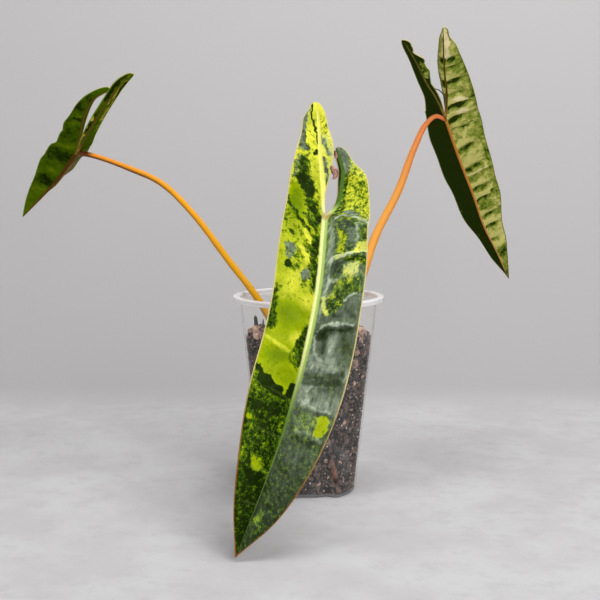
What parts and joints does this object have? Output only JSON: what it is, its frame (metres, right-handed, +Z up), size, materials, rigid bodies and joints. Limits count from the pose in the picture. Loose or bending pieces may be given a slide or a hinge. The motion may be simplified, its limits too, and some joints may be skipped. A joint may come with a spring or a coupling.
{
  "type": "potted variegated philodendron",
  "caption": "Potted aroid house plant: long arrow-shaped variegated leaves on orange petioles, rooted in bark mix in a clear tapered nursery pot.",
  "frame": {"origin": "centre of the pot's flat base, on the surface it stands on", "axes": "+Z up out of the pot; the front leaf hangs towards -Y; the two side leaves stand towards -X and +X"},
  "size_m": [0.4533, 0.3648, 0.3654],
  "materials": {
    "leaf_upper": "satin",
    "leaf_under": "satin",
    "petiole": "satin",
    "stem": "matte",
    "stub": "matte",
    "bark_mix": "matte",
    "clear_plastic": "gloss"
  },
  "bodies": {
    "root": {"leaf_front": "leaf_upper", "leaf_right": "leaf_under", "leaf_left": "leaf_under", "petiole_front": "petiole", "petiole_right": "petiole", "petiole_left": "petiole", "stem": "stem", "old_petiole_stub": "stub", "old_sheath_stub": "stub", "substrate": "bark_mix", "pot": "clear_plastic"}
  },
  "joints": []
}
